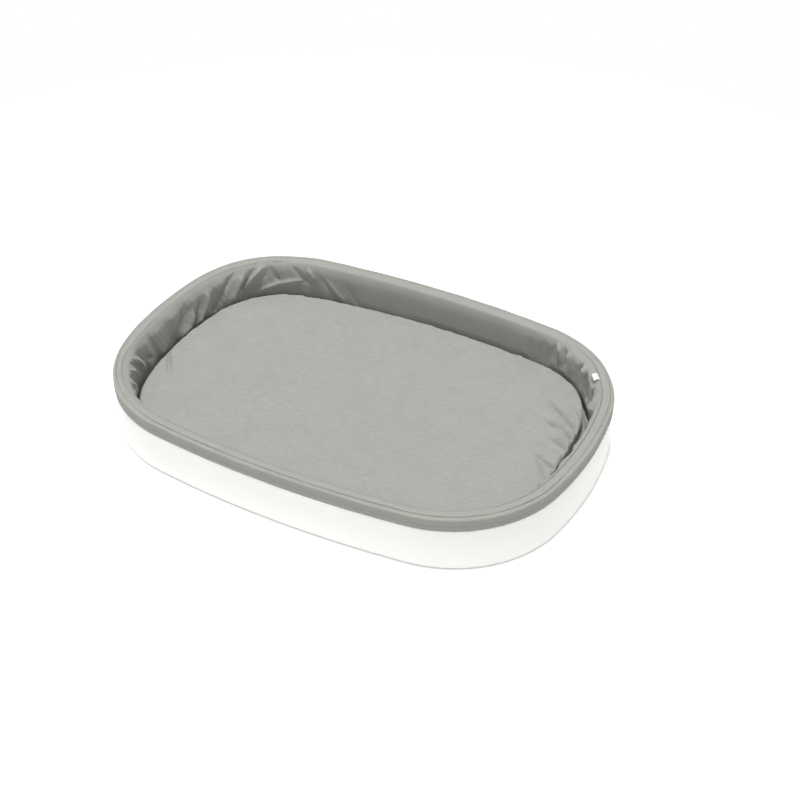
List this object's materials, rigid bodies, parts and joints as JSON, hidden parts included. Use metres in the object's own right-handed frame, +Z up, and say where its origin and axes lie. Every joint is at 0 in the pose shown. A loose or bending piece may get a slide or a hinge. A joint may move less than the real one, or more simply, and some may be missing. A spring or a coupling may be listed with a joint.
{
  "type": "changing mat",
  "caption": "Low white oval-cornered tub with a fitted grey textile liner, elasticated skirt round the rim and a crowned lift-out mattress.",
  "frame": {"origin": "centre of the footprint, on the plane of the rubber feet that the mat stands on", "axes": "+X along the mat's length towards the end with the care label, +Y across it, +Z up out of the well"},
  "size_m": [0.72, 0.5, 0.092],
  "materials": {
    "tub_plastic": "satin",
    "foot_rubber": "matte",
    "screw_steel": "satin",
    "liner_cloth": "satin",
    "rim_cloth": "matte",
    "melange_cloth": "matte",
    "foam": "matte",
    "wadding": "matte",
    "elastic": "matte",
    "label_satin": "satin"
  },
  "bodies": {
    "tub": {"tub_outer_shell": "tub_plastic", "tub_inner_tray": "tub_plastic", "rubber_foot_1": "foot_rubber", "rubber_foot_2": "foot_rubber", "rubber_foot_3": "foot_rubber", "rubber_foot_4": "foot_rubber", "rubber_foot_5": "foot_rubber", "rubber_foot_6": "foot_rubber", "tray_screw_1": "screw_steel", "tray_screw_2": "screw_steel", "tray_screw_3": "screw_steel", "tray_screw_4": "screw_steel", "tray_screw_5": "screw_steel", "tray_screw_6": "screw_steel"},
    "liner": {"liner_floor_panel": "liner_cloth", "liner_wall_panel": "liner_cloth", "liner_rim_padding": "foam", "liner_rim_strip": "rim_cloth", "liner_skirt_band": "rim_cloth", "skirt_elastic": "elastic", "care_label": "label_satin"},
    "mattress": {"mattress_top_cover": "melange_cloth", "mattress_base_cover": "liner_cloth", "mattress_foam_core": "foam", "mattress_wadding": "wadding"}
  },
  "joints": [
    {"name": "liner_lift", "type": "slide", "parent": "tub", "child": "liner", "axis": [0, 0, 1], "range_m": [0, 0.13]},
    {"name": "mattress_lift", "type": "slide", "parent": "liner", "child": "mattress", "axis": [0, 0, 1], "range_m": [0, 0.12]}
  ]
}
